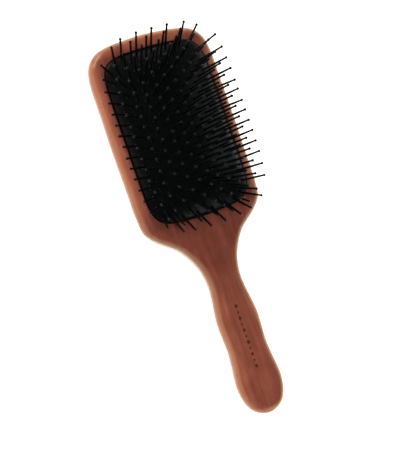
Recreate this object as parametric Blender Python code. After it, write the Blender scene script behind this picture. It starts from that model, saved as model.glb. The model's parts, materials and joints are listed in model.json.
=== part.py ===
"""Wooden paddle hair brush: one-piece paddle, domed rubber air cushion and fanned ball-tipped pins."""

import math

import bmesh
import bpy
from mathutils import Vector

MM = 0.001
SHARP_ANGLE = math.radians(35.0)

# Wooden paddle, in millimetres from the middle of the cushion: X across, +Y to the head end, Z up.
THICKNESS = 15.0
EDGE_RADIUS = 7.0
EDGE_STEPS = 4
SPAN_STEPS = 2
HEAD_END = 64.2
HANDLE_END = -184.8
# Half width against length, from the head end down one side to the handle end.
HALF_OUTLINE = (
    (0.0, HEAD_END), (13.0, 63.5), (26.3, 61.8), (36.3, 57.2), (40.2, 47.1),
    (40.9, 30.0), (40.9, -30.0), (40.6, -46.0), (39.2, -54.5),
    (32.3, -62.4), (22.2, -70.2), (16.3, -78.3), (12.7, -86.2), (10.8, -98.0),
    (12.2, -111.0), (13.5, -122.0), (12.8, -143.0), (13.8, -153.0),
    (14.8, -163.0), (13.8, -172.0), (9.8, -180.4), (4.9, -183.7), (0.0, HANDLE_END),
)

# Cushion seat: a recess with an undercut groove that holds the cushion's bead.
RECESS_FLOOR = 6.0
RECESS_GAP = 0.5
GROOVE_LOW = 8.4
GROOVE_HIGH = 11.2
GROOVE_DEPTH = 1.6

# Rubber air cushion.
CUSHION_HALF_WIDTH = 33.3
CUSHION_HALF_LENGTH = 54.2
END_BOW = 3.0
CORNER_POWER = 8.0
DOME_HEIGHT = 10.0
DOME_ACROSS = (2.22, 0.82)
DOME_ALONG = (4.3, 1.11)
SKIN = 1.6
BEAD_OUT = 1.2
BEAD_LOW = 8.8
BEAD_HIGH = 10.8
RIM_POINTS = 36
RING_SCALES = (0.975, 0.9, 0.76, 0.5)
CUSHION_FACE = THICKNESS
VENT_RADIUS = 0.8

# Pins: thirteen lengthwise rows, every other row shifted by half a pitch.
ROWS = 13
ROW_SPACING = 4.83
PITCH = 6.63
LEVELS = 32
LEVEL_SHIFT = -0.4
PIN_LENGTH = 18.0
ROOT_HALF = 0.58
NECK_HALF = 0.42
TIP_HALF = 0.85
TIP_HEIGHT = 1.7
HOLE_HALF = 0.9
FOOT_DEPTH = 3.5
FOOT_THICKNESS = 0.8
# Lean against the skin's slope in both directions, and the slight lean that all pins share.
LEAN_ACROSS = 1.54
LEAN_ALONG = 1.17
SHARED_LEAN = (0.041, 0.035)
END_LEVELS = 6

# The brush is centred on its own length, with its flat back on the ground plane.
SHIFT = Vector((0.0, -(HEAD_END + HANDLE_END) / 2.0, 0.0))


def clear_scene():
    for obj in list(bpy.data.objects):
        bpy.data.objects.remove(obj, do_unlink=True)


def material(name, color, roughness, coat=0.0):
    mat = bpy.data.materials.new(name)
    mat.use_nodes = True
    shader = mat.node_tree.nodes["Principled BSDF"]
    shader.inputs["Base Color"].default_value = (*color, 1.0)
    shader.inputs["Roughness"].default_value = roughness
    shader.inputs["Coat Weight"].default_value = coat
    return mat


def add_mesh(name, points, faces, mat=None, parent=None):
    """Make one closed object from points in millimetres, with its faces turned outward."""
    mesh = bpy.data.meshes.new(name)
    shell = bmesh.new()
    origin = Vector((0.0, 0.0, CUSHION_FACE)) if parent else Vector((0.0, 0.0, 0.0))
    corners = [shell.verts.new((p - origin) * MM) for p in points]
    for face in faces:
        shell.faces.new([corners[i] for i in face])
    bmesh.ops.recalc_face_normals(shell, faces=shell.faces)
    shell.to_mesh(mesh)
    shell.free()
    mesh.shade_smooth()
    mesh.set_sharp_from_angle(angle=SHARP_ANGLE)
    if mat:
        mesh.materials.append(mat)
    obj = bpy.data.objects.new(name, mesh)
    bpy.context.scene.collection.objects.link(obj)
    if parent:
        obj.parent = parent
    else:
        obj.location = SHIFT * MM
    return obj


def add_zone(name):
    """Empty on the cushion's vertical press axis that carries the pins that sink together."""
    empty = bpy.data.objects.new(name, None)
    empty.location = (SHIFT + Vector((0.0, 0.0, CUSHION_FACE))) * MM
    bpy.context.scene.collection.objects.link(empty)
    return empty


def cut(target, cutter):
    """Subtract a wire-drawn cutter from a body."""
    cutter.hide_render = True
    cutter.display_type = "WIRE"
    modifier = target.modifiers.new(cutter.name, "BOOLEAN")
    modifier.operation = "DIFFERENCE"
    modifier.solver = "EXACT"
    modifier.object = cutter


def stack_rings(rings):
    """Join equal rings of points into a closed body, with a flat cap at each end."""
    count = len(rings[0])
    points = [p for ring in rings for p in ring]
    faces = []
    for level in range(len(rings) - 1):
        low = level * count
        for i in range(count):
            j = (i + 1) % count
            faces.append((low + i, low + j, low + count + j, low + count + i))
    faces.append(tuple(range(count)))
    faces.append(tuple(range(len(points) - count, len(points))))
    return points, faces


def smooth_loop(points, steps):
    """Pass a closed cubic curve through the points, with chord-length tangents."""
    count = len(points)
    tangents = []
    for i in range(count):
        before = points[i] - points[i - 1]
        after = points[(i + 1) % count] - points[i]
        a, b = before.length, after.length
        tangents.append((before / a * b + after / b * a) / (a + b))
    curve = []
    for i in range(count):
        start, end = points[i], points[(i + 1) % count]
        chord = (end - start).length
        pull_out = tangents[i] * chord
        pull_in = tangents[(i + 1) % count] * chord
        for step in range(steps):
            t = step / steps
            curve.append(
                start * (2 * t**3 - 3 * t**2 + 1) + pull_out * (t**3 - 2 * t**2 + t)
                + end * (3 * t**2 - 2 * t**3) + pull_in * (t**3 - t**2)
            )
    return curve


def inset(loop, distance, height):
    """Move a clockwise loop inward by a distance and lift it to a height."""
    moved = []
    for i, point in enumerate(loop):
        along = loop[(i + 1) % len(loop)] - loop[i - 1]
        inward = Vector((along.y, -along.x, 0.0)).normalized()
        moved.append(point + inward * distance + Vector((0.0, 0.0, height)))
    return moved


def paddle_rings():
    right = [Vector((x, y, 0.0)) for x, y in HALF_OUTLINE]
    left = [Vector((-p.x, p.y, 0.0)) for p in reversed(right[1:-1])]
    loop = smooth_loop(right + left, SPAN_STEPS)
    rings = []
    for step in range(EDGE_STEPS + 1):
        turn = math.pi / 2 * (1 - step / EDGE_STEPS)
        rings.append(inset(loop, EDGE_RADIUS * (1 - math.cos(turn)), EDGE_RADIUS * (1 - math.sin(turn))))
    for step in range(EDGE_STEPS + 1):
        turn = math.pi / 2 * step / EDGE_STEPS
        height = THICKNESS - EDGE_RADIUS * (1 - math.sin(turn))
        rings.append(inset(loop, EDGE_RADIUS * (1 - math.cos(turn)), height))
    return rings


def half_length_at(x):
    """Half length of the cushion's rim where it bows out at both ends."""
    return CUSHION_HALF_LENGTH - END_BOW * (x / CUSHION_HALF_WIDTH) ** 2


def rim_ring(scale, grow, height):
    """Rounded, bowed rim outline, scaled about the middle and grown by a distance."""
    ring = []
    for i in range(RIM_POINTS):
        turn = 2 * math.pi * (i + 0.5) / RIM_POINTS
        c, s = math.cos(turn), math.sin(turn)
        size = (abs(c) ** CORNER_POWER + abs(s) ** CORNER_POWER) ** (1 / CORNER_POWER)
        x = CUSHION_HALF_WIDTH * c / size
        y = half_length_at(x) * s / size
        bulge = CORNER_POWER - 1
        out_x = math.copysign(abs(c) ** bulge, c) / CUSHION_HALF_WIDTH
        out_y = math.copysign(abs(s) ** bulge, s) / CUSHION_HALF_LENGTH
        out = Vector((out_x, out_y, 0.0)).normalized()
        ring.append(Vector((x, y, 0.0)) * scale + out * grow + Vector((0.0, 0.0, height)))
    return ring


def dome(x, y):
    """Height of the inflated cushion above the paddle's face, before its corners are rounded."""
    across = max(1 - abs(x / CUSHION_HALF_WIDTH) ** DOME_ACROSS[0], 0.0)
    along = max(1 - abs(y / CUSHION_HALF_LENGTH) ** DOME_ALONG[0], 0.0)
    return DOME_HEIGHT * across ** DOME_ACROSS[1] * along ** DOME_ALONG[1]


def skin_top(x, y):
    """Point on the cushion's outer skin."""
    u = abs(x) / CUSHION_HALF_WIDTH
    v = abs(y) / half_length_at(x)
    edge = min((u**CORNER_POWER + v**CORNER_POWER) ** (1 / CORNER_POWER), 1.0)
    return Vector((x, y, THICKNESS + dome(x, y) * math.sqrt(1 - edge**30)))


def skin_normal(x, y):
    step = 0.05
    across = skin_top(x + step, y) - skin_top(x - step, y)
    along = skin_top(x, y + step) - skin_top(x, y - step)
    return across.cross(along).normalized()


def cushion_body():
    """Closed rubber shell: domed skin, skirt, holding bead and inner face."""
    outer = []
    inner = []
    for scale in reversed(RING_SCALES):
        top = [skin_top(p.x, p.y) for p in rim_ring(scale, 0.0, 0.0)]
        outer.append(top)
        inner.append([p - skin_normal(p.x, p.y) * SKIN for p in top])
    profile = (
        (0.0, THICKNESS - 0.4), (0.0, BEAD_HIGH), (BEAD_OUT, BEAD_HIGH), (BEAD_OUT, BEAD_LOW),
        (-SKIN, BEAD_LOW), (-SKIN, THICKNESS - 1.2),
    )
    skirt = [rim_ring(1.0, grow, height) for grow, height in profile]
    points, faces = stack_rings(outer + skirt + inner[::-1])
    del faces[-2:]
    crown = len(points)
    points += [Vector((0.0, 0.0, THICKNESS + DOME_HEIGHT)), Vector((0.0, 0.0, THICKNESS + DOME_HEIGHT - SKIN))]
    last = crown - RIM_POINTS
    for i in range(RIM_POINTS):
        j = (i + 1) % RIM_POINTS
        faces.append((crown, i, j))
        faces.append((crown + 1, last + j, last + i))
    return points, faces


def pin_spots():
    """Yield row, level and place of every pin; the corner pins are drawn in round the rim."""
    for row in range(ROWS):
        for level in range(row % 2, LEVELS, 2):
            if level == 0 and row in (0, ROWS - 1):
                continue
            x = (row - (ROWS - 1) / 2) * ROW_SPACING
            y = ((LEVELS - 1) / 2 - level) * PITCH / 2 + LEVEL_SHIFT
            side = math.copysign(1.0, x)
            if level == 1 and row in (1, ROWS - 2):
                x += 0.2 * side
                y += 1.5
            if level == LEVELS - 1 and row in (1, ROWS - 2):
                x -= 3.2 * side
                y += 0.4
            if level == LEVELS - 2 and row in (0, ROWS - 1):
                x -= 2.4 * side
                y -= 0.5
            yield row, level, x, y


def pin_frame(x, y):
    """Base point on the skin and the pin's three directions: across, along and outward."""
    step = 0.05
    slope_x = (skin_top(x + step, y).z - skin_top(x - step, y).z) / (2 * step)
    slope_y = (skin_top(x, y + step).z - skin_top(x, y - step).z) / (2 * step)
    lean_x = SHARED_LEAN[0] - slope_x * LEAN_ACROSS
    lean_y = SHARED_LEAN[1] - slope_y * LEAN_ALONG
    out = Vector((lean_x, lean_y, 1.0)).normalized()
    across = Vector((0.0, 1.0, 0.0)).cross(out).normalized()
    return skin_top(x, y), across, out.cross(across), out


def square(centre, across, along, half_x, half_y):
    corners = ((-1, -1), (1, -1), (1, 1), (-1, 1))
    return [centre + across * half_x * i + along * half_y * j for i, j in corners]


def pin_comb(spots):
    """Pins of one row joined under the skin by their foot strip, as one closed body."""
    points = []
    faces = []
    ends = []
    for x, y in spots:
        base, across, along, out = pin_frame(x, y)
        start = len(points)
        foot = base - out * FOOT_DEPTH
        points += square(foot, across, along, ROOT_HALF, ROOT_HALF)
        points += square(foot + out * FOOT_THICKNESS, across, along, ROOT_HALF, ROOT_HALF)
        neck = base + out * (PIN_LENGTH - TIP_HEIGHT)
        points += square(neck, across, along, NECK_HALF, NECK_HALF)
        points += square(neck + out * TIP_HEIGHT * 0.5, across, along, TIP_HALF, TIP_HALF)
        points.append(base + out * (PIN_LENGTH + 0.1))
        faces.append((start, start + 1, start + 2, start + 3))
        faces.append((start + 1, start + 5, start + 6, start + 2))
        faces.append((start, start + 3, start + 7, start + 4))
        for low in (4, 8):
            for i in range(4):
                j = (i + 1) % 4
                faces.append((start + low + i, start + low + j, start + low + 4 + j, start + low + 4 + i))
        for i in range(4):
            faces.append((start + 12 + i, start + 12 + (i + 1) % 4, start + 16))
        ends.append(start)
    for one, two in zip(ends, ends[1:]):
        far = (two + 3, two + 2, two + 6, two + 7)
        near = (one, one + 1, one + 5, one + 4)
        for i in range(4):
            j = (i + 1) % 4
            faces.append((near[i], near[j], far[j], far[i]))
    first, last = ends[0], ends[-1]
    faces.append((first + 3, first + 2, first + 6, first + 7))
    faces.append((last, last + 1, last + 5, last + 4))
    return points, faces


def hole_cutters():
    """One square clearance hole through the skin for every pin, and the vent between them."""
    points = []
    faces = []
    for _, _, x, y in pin_spots():
        base, across, along, out = pin_frame(x, y)
        start = len(points)
        prism, sides = stack_rings([
            square(base - out * (FOOT_DEPTH + 1.5), across, along, HOLE_HALF, HOLE_HALF),
            square(base + out * 2.0, across, along, HOLE_HALF, HOLE_HALF),
        ])
        points += prism
        faces += [[start + i for i in face] for face in sides]
    start = len(points)
    rings = []
    for height in (-4.0, 4.0):
        ring = []
        for i in range(8):
            turn = math.pi * i / 4
            centre = Vector((0.0, PITCH / 4, THICKNESS + DOME_HEIGHT + height))
            ring.append(centre + Vector((math.cos(turn), math.sin(turn), 0.0)) * VENT_RADIUS)
        rings.append(ring)
    tube, sides = stack_rings(rings)
    points += tube
    faces += [[start + i for i in face] for face in sides]
    return points, faces


def pin_group(level):
    if level < END_LEVELS:
        return "head_end"
    if level >= LEVELS - END_LEVELS:
        return "handle_end"
    return "middle"


def press_zone(row, group):
    """Zone of a pin group: the higher the skin under it, the further it sinks when pressed."""
    from_middle = abs(row - ROWS // 2)
    if group == "middle":
        return ("crown", "crown", "crown", "flank", "flank", "shoulder", "edge")[from_middle]
    return "shoulder" if from_middle <= 3 else "edge"


def build():
    clear_scene()
    stained_wood = material("stained_wood", (0.23, 0.06, 0.035), 0.35, 0.3)
    black_rubber = material("black_rubber", (0.02, 0.022, 0.022), 0.55)
    black_nylon = material("black_nylon", (0.012, 0.012, 0.013), 0.35)

    paddle = add_mesh("wooden_paddle", *stack_rings(paddle_rings()), stained_wood)
    seat = (
        (RECESS_GAP, THICKNESS + 3.0), (RECESS_GAP, GROOVE_HIGH), (GROOVE_DEPTH + RECESS_GAP, GROOVE_HIGH),
        (GROOVE_DEPTH + RECESS_GAP, GROOVE_LOW), (RECESS_GAP, GROOVE_LOW), (RECESS_GAP, RECESS_FLOOR),
    )
    recess = add_mesh("recess_cutter", *stack_rings([rim_ring(1.0, grow, height) for grow, height in seat]))
    cut(paddle, recess)

    cushion = add_mesh("air_cushion", *cushion_body(), black_rubber)
    cut(cushion, add_mesh("hole_cutter", *hole_cutters()))

    groups = {}
    for row, level, x, y in pin_spots():
        groups.setdefault((row, pin_group(level)), []).append((x, y))
    zones = {name: add_zone(f"{name}_pins") for name in ("crown", "flank", "shoulder", "edge")}
    for (row, group), spots in groups.items():
        name = f"pin_row_{row + 1:02d}_{group}"
        add_mesh(name, *pin_comb(spots), black_nylon, zones[press_zone(row, group)])


build()
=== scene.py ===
"""Wooden paddle hair brush: fine visual model, materials, light and camera round the CAD frame.

Lengths are in metres. The brush lies along Y with its handle towards -Y and its pins up.
"""

import json
import math
import random

import bmesh
import bpy
from mathutils import Matrix, Vector


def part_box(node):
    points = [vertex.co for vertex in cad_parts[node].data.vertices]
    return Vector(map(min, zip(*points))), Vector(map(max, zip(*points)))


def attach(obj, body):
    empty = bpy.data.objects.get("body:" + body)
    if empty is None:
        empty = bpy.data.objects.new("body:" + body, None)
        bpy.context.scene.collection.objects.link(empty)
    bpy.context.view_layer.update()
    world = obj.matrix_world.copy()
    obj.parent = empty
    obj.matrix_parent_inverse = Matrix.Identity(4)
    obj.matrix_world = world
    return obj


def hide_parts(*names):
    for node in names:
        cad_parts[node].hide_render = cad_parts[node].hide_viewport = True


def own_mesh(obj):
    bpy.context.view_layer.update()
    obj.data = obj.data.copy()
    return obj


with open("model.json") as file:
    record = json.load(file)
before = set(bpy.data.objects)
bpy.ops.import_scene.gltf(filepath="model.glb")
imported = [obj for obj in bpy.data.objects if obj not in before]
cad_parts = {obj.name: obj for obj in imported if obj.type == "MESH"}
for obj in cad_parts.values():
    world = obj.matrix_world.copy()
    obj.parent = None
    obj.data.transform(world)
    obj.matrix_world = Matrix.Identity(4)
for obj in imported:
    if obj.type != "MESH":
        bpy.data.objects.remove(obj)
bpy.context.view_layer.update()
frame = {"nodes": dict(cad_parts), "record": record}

MM = 0.001

# From the frame: the height of the paddle's face, and the cushion's size without its bead.
_, PADDLE_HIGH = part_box("wooden_paddle")
CUSHION_LOW, CUSHION_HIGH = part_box("air_cushion")
FACE = PADDLE_HIGH[2]
BEAD_OUT = 1.2 * MM
HALF_WIDTH = (CUSHION_HIGH[0] - CUSHION_LOW[0]) / 2 - BEAD_OUT
HALF_LENGTH = (CUSHION_HIGH[1] - CUSHION_LOW[1]) / 2 - BEAD_OUT
MIDDLE = Vector((0.0, (CUSHION_HIGH[1] + CUSHION_LOW[1]) / 2, 0.0))
DOME_HEIGHT = CUSHION_HIGH[2] - FACE

# Paddle: edges rounded in so many steps per quarter turn, a recess, and a groove for the bead.
EDGE_RADIUS = 7.0 * MM
EDGE_STEPS = 14
OUTLINE_STEPS = 4
OUTLINE_TOLERANCE = 0.01 * MM
RECESS_GAP = 0.75 * MM
RECESS_MARGIN = 4.0 * MM
RECESS_FLOOR = 6.0 * MM
GROOVE_LOW = 8.4 * MM
GROOVE_HIGH = 11.2 * MM
GROOVE_DEPTH = 1.6 * MM
SHARP_ANGLE = math.radians(20.0)

# Softened rim of the recess: distances out from its wall and down from the face, in units of
# the rounding.
RIM_ROUND = 0.5 * MM
RIM_SHAPE = ((1.0, -1.0), (1.0, 0.0), (0.3, 0.1), (0.05, 0.4), (0.0, 1.0))

# Cushion. The dome's two profiles have the powers p and q of (1 - |place| ** p) ** q.
END_BOW = 3.0 * MM
CORNER_POWER = 8.0
DOME_ACROSS = (2.22, 0.82)
DOME_ALONG = (4.3, 1.11)
EDGE_ROLL_POWER = 30
SLOPE_STEP = 0.05 * MM
SKIN = 1.6 * MM
RIM_POINTS = 192

# Rings of the dome: crowded towards the rim, left out inside the vent, fewer on the inside.
DOME_RINGS = 44
RING_CROWDING = 1.6
INNER_STRIDE = 4
INNER_SCALE = 0.95
VENT_SCALE = 0.06

# Edge of the cushion from the dome down to the bead and up the inside: growth and height.
BEAD_LOW = 8.9 * MM
BEAD_HIGH = 10.7 * MM
BEAD_SLOPE = 0.1 * MM
CUSHION_EDGE = (
    (0.0, FACE + 0.15 * MM),
    (0.05 * MM, FACE - 0.15 * MM),
    (0.0, FACE - 0.6 * MM),
    (0.0, BEAD_HIGH + BEAD_SLOPE),
    (BEAD_OUT, BEAD_HIGH - BEAD_SLOPE),
    (BEAD_OUT, BEAD_LOW + BEAD_SLOPE),
    (-SKIN, BEAD_LOW - BEAD_SLOPE),
    (-SKIN, FACE - 1.5 * MM),
)

# Collar round each pin: its closed profile, in units of its radius and its height.
COLLAR_RADIUS = 1.05 * MM
COLLAR_HEIGHT = 0.3 * MM
COLLAR_SHAPE = (
    (1.35, -0.35),
    (1.25, 0.12),
    (1.0, 0.55),
    (0.8, 1.0),
    (0.55, 1.0),
    (0.42, 0.6),
    (0.40, -0.3),
)

# Places of the pins: rows run lengthwise, and a level is half a pitch, counted from the head end.
ROWS = 13
LEVELS = 32
END_LEVELS = 6
ROW_SPACING = 4.83 * MM
PITCH = 6.63 * MM
LEVEL_SHIFT = -0.4 * MM

# Corner pins are drawn in round the rim. By level and by rows in from the side: the shift away
# from the middle row, and the shift towards the head end.
CORNER_SHIFTS = {
    (1, 1): (0.2 * MM, 1.5 * MM),
    (LEVELS - 2, 0): (-2.4 * MM, -0.5 * MM),
    (LEVELS - 1, 1): (-3.2 * MM, 0.4 * MM),
}

# Vent hole, between the pins next to the cushion's middle. The dome's rings shift towards it,
# the more the smaller they are.
VENT_RADIUS = 0.8 * MM
VENT_FLARE = 1.25
VENT_LIP = 0.2 * MM
VENT_Y = PITCH / 4
VENT_PULL = 6

# Shape of a pin: a flared foot, a tapered shaft, a neck and a ball, which ends in a small cap
# just short of its half turn.
PIN_LENGTH = 18.0 * MM
PIN_ROOT = 3.0 * MM
PIN_SIDES = 12
FOOT_FLARE = 1.25
FOOT_TOP = 0.2 * MM
SHAFT_START = 1.6 * MM
SHAFT_RADIUS = 0.72 * MM
TAPER_FLARE = 1.15
TAPER_LENGTH = 5.0 * MM
NECK_RADIUS = 0.58 * MM
NECK_LENGTH = 0.4 * MM
BALL_RADIUS = 0.90 * MM
BALL_STEPS = 8
BALL_END = 0.985

# Lean of the pins: per slope of the skin, shared by all of them, and stray from pin to pin.
LEAN_ACROSS = 1.54
LEAN_ALONG = 1.17
SHARED_LEAN = (0.041, 0.035)
STRAY_LEAN = math.radians(1.0)
STRAY_SEED = 7

# Handle ornament: a line of chip-carved lozenges, large and small by turns.
ORNAMENT_FROM = 114.5 * MM
ORNAMENT_TO = 153.5 * MM
ORNAMENT_COUNT = 11
ORNAMENT_SIDE = -0.8 * MM
CHIP_LENGTH = 3.1 * MM
CHIP_WIDTH = 2.5 * MM
CHIP_DEPTH = 0.7 * MM
SMALL_CHIP = 0.65

# Camera: lens and sensor in millimetres, and the direction from its target to the camera.
LENS = 74.8
SENSOR_HEIGHT = 36.0
CLIP_START = 10.0 * MM
CAMERA_DISTANCE = 588.0 * MM
CAMERA_SIDE = Vector((-0.3129, 0.0146, 0.9497)).normalized()
CAMERA_UP = Vector((0.3131, 0.9456, 0.0886)).normalized()
CAMERA_TARGET = Vector((-6.9 * MM, -2.3 * MM, FACE))

# Wood: stops of its color ramps. Tones are colors, and tints multiply them.
WOOD_TONES = (
    (0.30, (0.240, 0.076, 0.078)),
    (0.50, (0.275, 0.090, 0.093)),
    (0.72, (0.315, 0.108, 0.111)),
)
PATCH_TINTS = (
    (0.30, (0.84, 0.80, 0.80)),
    (0.70, (1.10, 1.12, 1.12)),
)
STREAK_TINTS = (
    (0.34, (0.74, 0.70, 0.68)),
    (0.56, (1.0, 1.0, 1.0)),
    (0.75, (1.08, 1.07, 1.06)),
)
FLECK_TINTS = (
    (0.30, (0.62, 0.56, 0.54)),
    (0.42, (1.0, 1.0, 1.0)),
)
AMBER_VARNISH = (1.0, 0.84, 0.52, 1.0)
GROOVE_DARKENING = 0.35

# Darker band across the shoulder, between these two places along the brush.
SHOULDER_SPAN = (-55.0 * MM, 30.0 * MM)
SHOULDER_TINTS = (
    (0.0, (1.0, 1.0, 1.0)),
    (0.35, (0.71, 0.64, 0.68)),
    (0.65, (0.71, 0.64, 0.68)),
    (1.0, (1.0, 1.0, 1.0)),
)

# Painted shade: a darker strip of wood round the cushion, where its dome and pins shade the face.
SHADED_STRIP_WIDTH = 3.5 * MM
SHADED_STRIP_TINTS = (
    (0.0, (0.66, 0.66, 0.74)),
    (0.5, (0.84, 0.84, 0.88)),
    (1.0, (1.0, 1.0, 1.0)),
)

# Rubber and floor tones.
RUBBER_TONES = (
    (0.3, (0.0008, 0.0012, 0.0012)),
    (0.7, (0.0018, 0.0026, 0.0026)),
)
RUBBER_GLOSS_TINT = (0.8, 1.0, 1.0, 1.0)
FLOOR_TONES = (
    (0.3, (0.90, 0.90, 0.90)),
    (0.7, (0.92, 0.92, 0.92)),
)

# Floor: its glow dims to CONTACT_GLOW where the brush stands over it, a painted contact shadow,
# and its rim sweeps up in steps of distance beyond SWEEP_RADIUS and height.
FLOOR_LEVEL = -0.02 * MM
FLOOR_GLOW = (0.98, 0.94, 0.90, 1.0)
CONTACT_REACH = 20.0 * MM
CONTACT_SAMPLES = 16
CONTACT_GLOW = 0.15
SWEEP_RADIUS = 3.0
SWEEP_SIDES = 96
SWEEP_RISE = ((0.0, 0.0), (0.15, 0.02), (0.28, 0.10), (0.36, 0.24), (0.40, 0.50))

# Studio lights: name, direction from the camera's target, distance, size, power and color.
AMBIENT = 0.08
OVERHEAD = ("overhead_fill", (-0.20, 0.12, 0.97), 1.5, (0.8, 0.8), 18.0, (1.0, 0.99, 0.98))
SOFTBOXES = (
    ("left_softbox", (-0.97, 0.0, 0.11), 1.3, (1.8, 0.18), 3.6, (1.0, 0.90, 0.48)),
    ("back_softbox", (-0.45, 0.87, 0.24), 1.4, (0.9, 0.3), 9.0, (1.0, 0.90, 0.84)),
    ("front_softbox", (0.25, -0.93, 0.25), 1.5, (0.8, 0.45), 3.8, (1.0, 0.92, 0.84)),
    ("right_softbox", (0.80, 0.10, 0.58), 1.4, (0.6, 0.6), 2.2, (0.92, 1.0, 1.0)),
)


# ---------------------------------------------------------------- mesh helpers


def add_object(name, points, faces, materials, smooth=True):
    mesh = bpy.data.meshes.new(name)
    mesh.from_pydata(points, [], faces)
    shell = bmesh.new()
    shell.from_mesh(mesh)
    bmesh.ops.recalc_face_normals(shell, faces=shell.faces)
    shell.to_mesh(mesh)
    shell.free()
    for mat in materials:
        mesh.materials.append(mat)
    if smooth:
        mesh.shade_smooth()
    obj = bpy.data.objects.new(name, mesh)
    bpy.context.scene.collection.objects.link(obj)
    return obj


def ring_faces(levels, count, closed=False):
    """Faces between stacked rings of equal count; closed joins the last ring to the first."""
    faces = []
    for level in range(levels if closed else levels - 1):
        low = level * count
        high = (level + 1) % levels * count
        for i in range(count):
            j = (i + 1) % count
            faces.append((low + i, low + j, high + j, high + i))
    return faces


def stack(rings):
    """Points and faces of a solid made of stacked rings, closed at both ends."""
    count = len(rings[0])
    last = (len(rings) - 1) * count
    faces = ring_faces(len(rings), count) + [tuple(range(count)), tuple(range(last, last + count))]
    return [point for ring in rings for point in ring], faces


def join_solid(points, faces, solid):
    """Add another solid's points and faces to these lists."""
    start = len(points)
    more_points, more_faces = solid
    faces += [tuple(start + k for k in face) for face in more_faces]
    points += more_points


def circle(radius, height):
    """Ring of points round the Z axis, one for each side of a pin."""
    ring = []
    for i in range(PIN_SIDES):
        angle = 2 * math.pi * i / PIN_SIDES
        ring.append(Vector((math.cos(angle) * radius, math.sin(angle) * radius, height)))
    return ring


def smooth_loop(points, steps):
    """Pass a closed cubic curve through the points, with chord-length tangents."""
    count = len(points)
    tangents = []
    for i in range(count):
        before = points[i] - points[i - 1]
        after = points[(i + 1) % count] - points[i]
        a, b = before.length, after.length
        tangents.append((before / a * b + after / b * a) / (a + b))
    curve = []
    for i in range(count):
        start, end = points[i], points[(i + 1) % count]
        chord = (end - start).length
        pull_out = tangents[i] * chord
        pull_in = tangents[(i + 1) % count] * chord
        for step in range(steps):
            t = step / steps
            curve.append(
                start * (2 * t**3 - 3 * t**2 + 1) + pull_out * (t**3 - 2 * t**2 + t)
                + end * (3 * t**2 - 2 * t**3) + pull_in * (t**3 - t**2)
            )
    return curve


# ---------------------------------------------------------------- cushion shape


def half_length_at(x):
    """Half length of the cushion's rim where it bows out at both ends."""
    return HALF_LENGTH - END_BOW * (x / HALF_WIDTH) ** 2


def rim_ring(scale, grow, height):
    """Rounded, bowed rim outline, scaled about the cushion's middle and grown by a distance."""
    ring = []
    bulge = CORNER_POWER - 1
    for i in range(RIM_POINTS):
        turn = 2 * math.pi * (i + 0.5) / RIM_POINTS
        c, s = math.cos(turn), math.sin(turn)
        size = (abs(c) ** CORNER_POWER + abs(s) ** CORNER_POWER) ** (1 / CORNER_POWER)
        x = HALF_WIDTH * c / size
        y = half_length_at(x) * s / size
        out_x = math.copysign(abs(c) ** bulge, c) / HALF_WIDTH
        out_y = math.copysign(abs(s) ** bulge, s) / HALF_LENGTH
        out = Vector((out_x, out_y, 0.0)).normalized()
        ring.append(Vector((x, y, 0.0)) * scale + out * grow + Vector((0.0, 0.0, height)))
    return ring


def rim_rings(profile):
    """Rings round the cushion's middle, one for each growth and height of a profile."""
    return [[MIDDLE + point for point in rim_ring(1.0, grow, height)] for grow, height in profile]


def dome(x, y):
    """Height of the inflated cushion above the paddle's face, before its corners are rounded."""
    across = max(1 - abs(x / HALF_WIDTH) ** DOME_ACROSS[0], 0.0)
    along = max(1 - abs(y / HALF_LENGTH) ** DOME_ALONG[0], 0.0)
    return DOME_HEIGHT * across ** DOME_ACROSS[1] * along ** DOME_ALONG[1]


def skin_top(x, y):
    """Point on the cushion's outer skin, at a place measured from the cushion's middle."""
    u = abs(x) / HALF_WIDTH
    v = abs(y) / half_length_at(x)
    edge = min((u**CORNER_POWER + v**CORNER_POWER) ** (1 / CORNER_POWER), 1.0)
    return Vector((x, y, FACE + dome(x, y) * math.sqrt(1 - edge**EDGE_ROLL_POWER)))


def skin_slopes(x, y):
    step = SLOPE_STEP
    slope_x = (skin_top(x + step, y).z - skin_top(x - step, y).z) / (2 * step)
    slope_y = (skin_top(x, y + step).z - skin_top(x, y - step).z) / (2 * step)
    return slope_x, slope_y


def skin_normal(x, y):
    slope_x, slope_y = skin_slopes(x, y)
    return Vector((-slope_x, -slope_y, 1.0)).normalized()


def pin_spots():
    """Yield row, level and place of every pin; the two corners at the head end have none."""
    for row in range(ROWS):
        rows_in = min(row, ROWS - 1 - row)
        for level in range(row % 2, LEVELS, 2):
            if (level, rows_in) == (0, 0):
                continue
            x = (row - (ROWS - 1) / 2) * ROW_SPACING
            y = ((LEVELS - 1) / 2 - level) * PITCH / 2 + LEVEL_SHIFT
            outward, headward = CORNER_SHIFTS.get((level, rows_in), (0.0, 0.0))
            yield row, level, x + outward * math.copysign(1.0, x), y + headward


# ---------------------------------------------------------------- materials


# Sockets of the Mix node for colors, by number because its other data types share their names.
MIX_FACTOR, MIX_ONE, MIX_OTHER, MIX_RESULT = 0, 6, 7, 2

SHADER_SOCKETS = {
    "color": "Base Color",
    "roughness": "Roughness",
    "normal": "Normal",
    "ior": "IOR",
    "specular": "Specular IOR Level",
    "tint": "Specular Tint",
    "coat": "Coat Weight",
    "coat_roughness": "Coat Roughness",
    "coat_ior": "Coat IOR",
    "coat_tint": "Coat Tint",
    "glow": "Emission Strength",
    "glow_color": "Emission Color",
}


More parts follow.
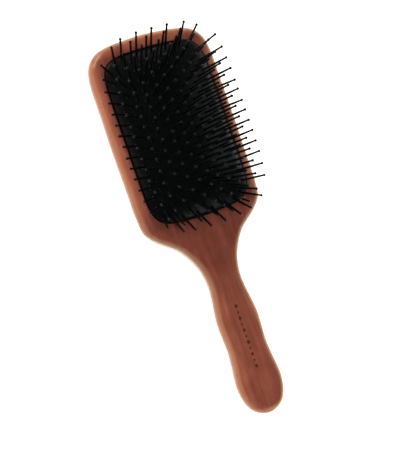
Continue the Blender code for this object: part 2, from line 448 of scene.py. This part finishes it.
class Nodes:
    """Shorthand for building one node material in object coordinates."""

    def __init__(self, name):
        self.material = bpy.data.materials.new(name)
        self.material.use_nodes = True
        self.tree = self.material.node_tree
        self.shader = self.tree.nodes["Principled BSDF"]
        self.place = self.tree.nodes.new("ShaderNodeTexCoord").outputs["Object"]

    def add(self, kind, **values):
        node = self.tree.nodes.new(kind)
        for key, value in values.items():
            setattr(node, key, value)
        return node

    def link(self, source, target):
        self.tree.links.new(source, target)

    def feed(self, value, socket):
        """Link another node's output to a socket, or give the socket a plain value."""
        if hasattr(value, "is_output"):
            self.link(value, socket)
        else:
            socket.default_value = value

    def stretched(self, scale):
        mapping = self.add("ShaderNodeMapping")
        mapping.inputs["Scale"].default_value = scale
        self.link(self.place, mapping.inputs["Vector"])
        return mapping.outputs["Vector"]

    def noise(self, scale, detail=4.0, roughness=0.5, distortion=0.0):
        """Noise with its own scale, in features per metre, along each axis."""
        node = self.add("ShaderNodeTexNoise")
        self.link(self.stretched(scale), node.inputs["Vector"])
        node.inputs["Scale"].default_value = 1.0
        node.inputs["Detail"].default_value = detail
        node.inputs["Roughness"].default_value = roughness
        node.inputs["Distortion"].default_value = distortion
        return node.outputs["Fac"]

    def axis(self, name):
        node = self.add("ShaderNodeSeparateXYZ")
        self.link(self.place, node.inputs["Vector"])
        return node.outputs[name]

    def calculate(self, operation, *values):
        node = self.add("ShaderNodeMath", operation=operation)
        for value, socket in zip(values, node.inputs):
            self.feed(value, socket)
        return node.outputs["Value"]

    def ramp(self, source, stops):
        node = self.add("ShaderNodeValToRGB")
        elements = node.color_ramp.elements
        while len(elements) < len(stops):
            elements.new(0.5)  # its own place is set below
        for element, (position, color) in zip(elements, stops):
            element.position = position
            element.color = (*color, 1.0)
        self.link(source, node.inputs["Fac"])
        return node.outputs["Color"]

    def multiply(self, color, tint, strength):
        node = self.add("ShaderNodeMix", data_type="RGBA", blend_type="MULTIPLY")
        node.inputs[MIX_FACTOR].default_value = strength
        self.link(color, node.inputs[MIX_ONE])
        self.link(tint, node.inputs[MIX_OTHER])
        return node.outputs[MIX_RESULT]

    def span(self, source, low, high, from_low=0.0, from_high=1.0):
        """Map a source range to the values from low to high."""
        node = self.add("ShaderNodeMapRange")
        self.link(source, node.inputs["Value"])
        node.inputs["From Min"].default_value = from_low
        node.inputs["From Max"].default_value = from_high
        node.inputs["To Min"].default_value = low
        node.inputs["To Max"].default_value = high
        return node.outputs["Result"]

    def bump(self, height, strength, distance, after=None):
        node = self.add("ShaderNodeBump")
        node.inputs["Strength"].default_value = strength
        node.inputs["Distance"].default_value = distance
        self.link(height, node.inputs["Height"])
        if after:
            self.link(after, node.inputs["Normal"])
        return node.outputs["Normal"]

    def shade(self, **values):
        """Feed the shader's sockets by their short names."""
        for key, value in values.items():
            self.feed(value, self.shader.inputs[SHADER_SOCKETS[key]])


def painted_shade_tint(wood):
    """Painted shade: tint darkest at the recess's rim, fading out to the edge of the shaded strip.
    """
    mean_bow = END_BOW / 3
    across = wood.calculate("ABSOLUTE", wood.axis("X"))
    across = wood.calculate("SUBTRACT", across, HALF_WIDTH + RECESS_GAP)
    along = wood.calculate("ABSOLUTE", wood.calculate("SUBTRACT", wood.axis("Y"), MIDDLE.y))
    along = wood.calculate("SUBTRACT", along, HALF_LENGTH + RECESS_GAP - mean_bow)
    distance = wood.calculate("MAXIMUM", across, along)
    return wood.ramp(wood.span(distance, 0.0, 1.0, 0.0, SHADED_STRIP_WIDTH), SHADED_STRIP_TINTS)


def wood_material(name, darken=1.0):
    """Reddish-brown stained wood: lengthwise grain and pores under a satin varnish."""
    wood = Nodes(name)
    figure = wood.noise((45.0, 6.0, 45.0), detail=5.0, roughness=0.6, distortion=0.5)
    mottle = wood.noise((160.0, 90.0, 160.0), detail=3.0, roughness=0.6)
    grain = wood.noise((420.0, 16.0, 420.0), detail=6.0, roughness=0.65)
    pores = wood.noise((1500.0, 75.0, 1500.0), detail=3.0, roughness=0.6)
    tones = [(stop, tuple(darken * part for part in tone)) for stop, tone in WOOD_TONES]
    color = wood.ramp(figure, tones)
    color = wood.multiply(color, wood.ramp(mottle, PATCH_TINTS), strength=1.0)
    shoulder_band = wood.span(wood.axis("Y"), 0.0, 1.0, *SHOULDER_SPAN)
    color = wood.multiply(color, wood.ramp(shoulder_band, SHOULDER_TINTS), strength=1.0)
    # Painted shade round the cushion, darkest at the recess's rim.
    color = wood.multiply(color, painted_shade_tint(wood), strength=1.0)
    color = wood.multiply(color, wood.ramp(grain, STREAK_TINTS), strength=0.8)
    color = wood.multiply(color, wood.ramp(pores, FLECK_TINTS), strength=0.6)
    normal = wood.bump(pores, strength=0.10, distance=0.4 * MM)
    normal = wood.bump(grain, strength=0.06, distance=0.6 * MM, after=normal)
    wood.shade(
        color=color,
        roughness=wood.span(grain, 0.40, 0.30),
        normal=normal,
        ior=1.50,
        coat=1.0,
        coat_roughness=wood.span(mottle, 0.16, 0.26),
        coat_ior=1.2,
        coat_tint=AMBER_VARNISH,
    )
    return wood.material


def rubber_material():
    """Satin black moulded rubber with a faint grey-green bloom and a fine moulded grain."""
    rubber = Nodes("fine_black_rubber")
    cloud = rubber.noise((60.0, 60.0, 60.0), detail=4.0)
    grit = rubber.noise((2600.0, 2600.0, 2600.0), detail=3.0)
    rubber.shade(
        color=rubber.ramp(cloud, RUBBER_TONES),
        roughness=rubber.span(cloud, 0.30, 0.40),
        normal=rubber.bump(grit, strength=0.2, distance=0.2 * MM),
        specular=0.16,
        tint=RUBBER_GLOSS_TINT,
    )
    return rubber.material


def nylon_material(name, dark, light, smooth, dull, shine):
    """Black moulded nylon with faint flow marks along the pins."""
    nylon = Nodes(name)
    flow = nylon.noise((900.0, 900.0, 250.0), detail=3.0)
    nylon.shade(
        color=nylon.ramp(flow, ((0.3, dark), (0.7, light))),
        roughness=nylon.span(flow, smooth, dull),
        normal=nylon.bump(flow, strength=0.1, distance=0.2 * MM),
        specular=shine,
    )
    return nylon.material


def floor_material():
    """Plain white light table, very faintly uneven, dimmed where the brush stands over it: painted
    shadow.
    """
    floor = Nodes("pale_floor")
    cloud = floor.noise((3.0, 3.0, 3.0), detail=2.0)
    # Painted contact shadow: the floor's glow is dimmed by occlusion near the brush.
    painted_contact_shadow = floor.add("ShaderNodeAmbientOcclusion", samples=CONTACT_SAMPLES)
    painted_contact_shadow.inputs["Distance"].default_value = CONTACT_REACH
    floor.shade(
        color=floor.ramp(cloud, FLOOR_TONES),
        roughness=0.9,
        glow=floor.span(painted_contact_shadow.outputs["AO"], CONTACT_GLOW, 1.0),
        glow_color=FLOOR_GLOW,
    )
    return floor.material


# ---------------------------------------------------------------- pieces


def paddle_loop():
    """The paddle's outline at its widest level, from the CAD piece, refined to a smooth loop."""
    half = {}
    for vertex in frame["nodes"]["wooden_paddle"].data.vertices:
        x, y, z = vertex.co
        widest = abs(z - EDGE_RADIUS) < OUTLINE_TOLERANCE
        if widest and x > -OUTLINE_TOLERANCE and not near_recess(x, y):
            half[round(y, 6)] = Vector((max(x, 0.0), y, 0.0))
    right = [half[y] for y in sorted(half, reverse=True)]
    left = [Vector((-p.x, p.y, 0.0)) for p in reversed(right[1:-1])]
    return smooth_loop(right + left, OUTLINE_STEPS)


def near_recess(x, y):
    """Whether a point of the CAD piece belongs to its recess and not to its outline."""
    across = HALF_WIDTH + RECESS_MARGIN
    along = HALF_LENGTH + RECESS_MARGIN
    return abs(x) < across and abs(y - MIDDLE.y) < along


def inset(loop, distance, height):
    """Move a clockwise loop inward by a distance and lift it to a height."""
    moved = []
    for i, point in enumerate(loop):
        along = loop[(i + 1) % len(loop)] - loop[i - 1]
        inward = Vector((along.y, -along.x, 0.0)).normalized()
        moved.append(point + inward * distance + Vector((0.0, 0.0, height)))
    return moved


def shell_solid():
    """Outside of the one-piece paddle: flat faces and fully rounded edges."""
    loop = paddle_loop()
    rings = []
    for step in range(2 * EDGE_STEPS + 1):
        turn = math.pi * step / (2 * EDGE_STEPS) - math.pi / 2
        height = EDGE_RADIUS * (1 + math.sin(turn))
        if turn > 0:
            height += FACE - 2 * EDGE_RADIUS
        rings.append(inset(loop, EDGE_RADIUS * (1 - math.cos(turn)), height))
    return stack(rings)


def seat_solid():
    """The wood cut away for the cushion: a recess with a softened rim and a groove for the bead."""
    profile = [(RECESS_GAP + out * RIM_ROUND, FACE - down * RIM_ROUND) for out, down in RIM_SHAPE]
    profile += [
        (RECESS_GAP, GROOVE_HIGH),
        (RECESS_GAP + GROOVE_DEPTH, GROOVE_HIGH),
        (RECESS_GAP + GROOVE_DEPTH, GROOVE_LOW),
        (RECESS_GAP, GROOVE_LOW),
        (RECESS_GAP, RECESS_FLOOR),
    ]
    return stack(rim_rings(profile))


def ornament_solid():
    """All the chips of the handle's ornament."""
    points = []
    faces = []
    for i in range(ORNAMENT_COUNT):
        along = ORNAMENT_FROM + (ORNAMENT_TO - ORNAMENT_FROM) * i / (ORNAMENT_COUNT - 1)
        centre = MIDDLE + Vector((ORNAMENT_SIDE, -along, FACE))
        join_solid(points, faces, chip_solid(centre, SMALL_CHIP if i % 2 else 1.0))
    return points, faces


def chip_solid(centre, size):
    """Cutter for one lozenge: four corners on the face, a point below and a point above it."""
    points = [
        centre - Vector((0.0, 0.0, CHIP_DEPTH * size)),
        centre + Vector((0.0, 0.0, CHIP_DEPTH)),
    ]
    for side, along in ((1, 0), (0, 1), (-1, 0), (0, -1)):
        corner = Vector((side * CHIP_WIDTH / 2, along * CHIP_LENGTH / 2, 0.0)) * size
        points.append(centre + corner)
    faces = [(0, 2 + i, 2 + (i + 1) % 4) for i in range(4)]
    faces += [(1, 2 + (i + 1) % 4, 2 + i) for i in range(4)]
    return points, faces


def carve(piece, solid, lining):
    """Cut a solid out of a piece; the cut faces take the lining's material."""
    points, faces = solid
    cutter = add_object("cutter", points, faces, [lining], smooth=False)
    modifier = piece.modifiers.new("carve", "BOOLEAN")
    modifier.operation = "DIFFERENCE"
    modifier.solver = "EXACT"
    modifier.object = cutter
    modifier.material_mode = "TRANSFER"
    bpy.context.view_layer.update()
    graph = bpy.context.evaluated_depsgraph_get()
    carved = bpy.data.meshes.new_from_object(piece.evaluated_get(graph))
    piece.modifiers.clear()
    piece.data = carved
    bpy.data.objects.remove(cutter)


def build_paddle(wood, groove_wood):
    """One-piece paddle with the recess that seats the cushion and the ornament on its handle."""
    points, faces = shell_solid()
    paddle = add_object("fine_paddle", points, faces, [wood, groove_wood])
    carve(paddle, seat_solid(), wood)
    carve(paddle, ornament_solid(), groove_wood)
    paddle.data.shade_smooth()
    paddle.data.set_sharp_from_angle(angle=SHARP_ANGLE)
    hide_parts("wooden_paddle")
    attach(paddle, "paddle")


def collar_rings():
    """Low moulded collar round every pin, square to the skin."""
    points = []
    faces = []
    collar_faces = ring_faces(len(COLLAR_SHAPE), PIN_SIDES, closed=True)
    for _, _, x, y in pin_spots():
        base = MIDDLE + skin_top(x, y)
        turn = skin_normal(x, y).to_track_quat("Z", "Y")
        collar = []
        for radius, height in COLLAR_SHAPE:
            ring = circle(radius * COLLAR_RADIUS, height * COLLAR_HEIGHT)
            collar += [base + turn @ point for point in ring]
        join_solid(points, faces, (collar, collar_faces))
    return points, faces


def vent_ring(radius, height):
    """Ring round the vent hole, at a height above the outer skin."""
    ring = []
    for i in range(RIM_POINTS):
        turn = 2 * math.pi * (i + 0.5) / RIM_POINTS
        x = math.cos(turn) * radius
        y = math.sin(turn) * radius + VENT_Y
        ring.append(MIDDLE + skin_top(x, y) + Vector((0.0, 0.0, height)))
    return ring


def dome_ring(scale, height):
    """Ring over the dome at a height above the outer skin; the small ones lie round the vent."""
    shift = VENT_Y * (1 - scale) ** VENT_PULL
    lift = Vector((0.0, 0.0, height))
    return [MIDDLE + skin_top(p.x, p.y + shift) + lift for p in rim_ring(scale, 0.0, 0.0)]


def build_cushion(rubber):
    """Domed rubber skin with a rolled edge, a skirt, a bead, pin collars and a vent hole."""
    scales = [1 - (1 - (i + 1) / DOME_RINGS) ** RING_CROWDING for i in range(DOME_RINGS - 1)]
    outer = [scale for scale in scales if scale > VENT_SCALE]
    inner = [scale for scale in reversed(outer[::INNER_STRIDE]) if scale < INNER_SCALE]
    vent_mouth = VENT_RADIUS * VENT_FLARE
    rings = [
        vent_ring(VENT_RADIUS, -SKIN),
        vent_ring(vent_mouth, -VENT_LIP),
        vent_ring(vent_mouth, 0.0),
    ]
    rings += [dome_ring(scale, 0.0) for scale in outer]
    rings += rim_rings(CUSHION_EDGE)
    rings += [dome_ring(scale, -SKIN) for scale in inner]
    points = [point for ring in rings for point in ring]
    faces = ring_faces(len(rings), RIM_POINTS, closed=True)
    join_solid(points, faces, collar_rings())
    cushion = add_object("fine_cushion", points, faces, [rubber])
    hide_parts("air_cushion")
    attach(cushion, "paddle")
    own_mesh(cushion)


def pin_profile():
    """Radius against height of one pin, from its root under the skin to the top of its ball."""
    ball_centre = PIN_LENGTH - BALL_RADIUS
    neck = math.asin(NECK_RADIUS / BALL_RADIUS)
    profile = [
        (SHAFT_RADIUS * FOOT_FLARE, -PIN_ROOT),
        (SHAFT_RADIUS * FOOT_FLARE, FOOT_TOP),
        (SHAFT_RADIUS, SHAFT_START),
        (NECK_RADIUS * TAPER_FLARE, ball_centre - TAPER_LENGTH),
        (NECK_RADIUS, ball_centre - BALL_RADIUS * math.cos(neck) - NECK_LENGTH),
    ]
    for step in range(BALL_STEPS + 1):
        turn = neck + (math.pi * BALL_END - neck) * step / BALL_STEPS
        profile.append((BALL_RADIUS * math.sin(turn), ball_centre - BALL_RADIUS * math.cos(turn)))
    return profile


def pin_mesh(x, y, stray):
    """Round tapered pin with a ball tip, standing on the skin with its own slight stray lean."""
    slope_x, slope_y = skin_slopes(x, y)
    lean_x = SHARED_LEAN[0] - slope_x * LEAN_ACROSS + stray.gauss(0, STRAY_LEAN)
    lean_y = SHARED_LEAN[1] - slope_y * LEAN_ALONG + stray.gauss(0, STRAY_LEAN)
    out = Vector((lean_x, lean_y, 1.0)).normalized()
    turn = out.to_track_quat("Z", "Y")
    base = MIDDLE + skin_top(x, y)
    rings = []
    for radius, height in pin_profile():
        rings.append([base + turn @ point for point in circle(radius, height)])
    return stack(rings)


def paint_tip_highlights(pins):
    """Give the ball tips the object's second material, a lighter nylon that paints their highlight.
    """
    bands = len(pin_profile()) - 1
    foot_cap = bands * PIN_SIDES
    per_pin = foot_cap + 2
    first_ball = (bands - BALL_STEPS) * PIN_SIDES
    for polygon in pins.data.polygons:
        place = polygon.index % per_pin
        if place >= first_ball and place != foot_cap:
            polygon.material_index = 1


def pin_group(level):
    """Name of the part of its row that a pin belongs to."""
    if level < END_LEVELS:
        return "head_end"
    if level >= LEVELS - END_LEVELS:
        return "handle_end"
    return "middle"


def build_pins(nylon, highlit_tip_nylon):
    """Fine pins, grouped as the CAD rows are, each group riding on its CAD group's body."""
    stray = random.Random(STRAY_SEED)
    groups = {}
    for row, level, x, y in pin_spots():
        points, faces = groups.setdefault((row, pin_group(level)), ([], []))
        join_solid(points, faces, pin_mesh(x, y, stray))
    bodies = frame["record"]["behaviour"]["bodies"]
    for (row, group), (points, faces) in groups.items():
        node = f"pin_row_{row + 1:02d}_{group}"
        pins = add_object(f"fine_{node}", points, faces, [nylon, highlit_tip_nylon])
        paint_tip_highlights(pins)
        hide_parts(node)
        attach(pins, next(body for body, nodes in bodies.items() if node in nodes))


# ---------------------------------------------------------------- studio


def build_floor():
    """Round floor whose rim sweeps up a little, so that low views see no horizon."""
    points = []
    for out, height in SWEEP_RISE:
        reach = SWEEP_RADIUS + out
        for i in range(SWEEP_SIDES):
            turn = 2 * math.pi * i / SWEEP_SIDES
            spot = (math.cos(turn) * reach, math.sin(turn) * reach, FLOOR_LEVEL + height)
            points.append(Vector(spot))
    faces = [tuple(range(SWEEP_SIDES))] + ring_faces(len(SWEEP_RISE), SWEEP_SIDES)
    floor = add_object("floor", points, faces, [floor_material()])


def add_softbox(name, direction, distance, size, power, color):
    data = bpy.data.lights.new(name, "AREA")
    data.shape = "RECTANGLE"
    data.size, data.size_y = size
    data.energy = power
    data.color = color
    light = bpy.data.objects.new(name, data)
    outward = Vector(direction).normalized()
    light.location = CAMERA_TARGET + outward * distance
    light.rotation_euler = outward.to_track_quat("Z", "Y").to_euler()
    bpy.context.scene.collection.objects.link(light)
    return light


def build_studio():
    """Floor, even ambient light, softboxes, and an overhead fill that shows in no reflection."""
    build_floor()
    world = bpy.data.worlds.new("studio")
    world.use_nodes = True
    background = world.node_tree.nodes["Background"]
    background.inputs["Color"].default_value = (1.0, 1.0, 1.0, 1.0)
    background.inputs["Strength"].default_value = AMBIENT
    bpy.context.scene.world = world
    for softbox in SOFTBOXES:
        add_softbox(*softbox)
    fill = add_softbox(*OVERHEAD)
    fill.visible_glossy = False


def build_camera():
    """Camera at the photograph's viewing angle, and plain color output."""
    data = bpy.data.cameras.new("camera")
    data.sensor_fit = "VERTICAL"
    data.sensor_height = SENSOR_HEIGHT
    data.lens = LENS
    data.clip_start = CLIP_START
    camera = bpy.data.objects.new("camera", data)
    right = CAMERA_UP.cross(CAMERA_SIDE).normalized()
    up = CAMERA_SIDE.cross(right)
    turn = Matrix((right, up, CAMERA_SIDE)).transposed().to_4x4()
    camera.matrix_world = Matrix.Translation(CAMERA_TARGET + CAMERA_SIDE * CAMERA_DISTANCE) @ turn
    bpy.context.scene.collection.objects.link(camera)
    bpy.context.scene.camera = camera
    bpy.context.scene.view_settings.view_transform = "Standard"


build_paddle(
    wood_material("fine_stained_wood"),
    wood_material("fine_groove_wood", darken=GROOVE_DARKENING),
)
build_cushion(rubber_material())
black_nylon = nylon_material(
    "fine_black_nylon",
    dark=(0.0015, 0.0015, 0.0018),
    light=(0.004, 0.004, 0.004),
    smooth=0.30,
    dull=0.42,
    shine=0.12,
)
# Painted highlight: a lighter, slightly rougher nylon for the ball tips.
highlit_tip_nylon = nylon_material(
    "fine_worn_nylon",
    dark=(0.002, 0.002, 0.0022),
    light=(0.006, 0.006, 0.0058),
    smooth=0.36,
    dull=0.50,
    shine=0.18,
)
build_pins(black_nylon, highlit_tip_nylon)
build_studio()
build_camera()
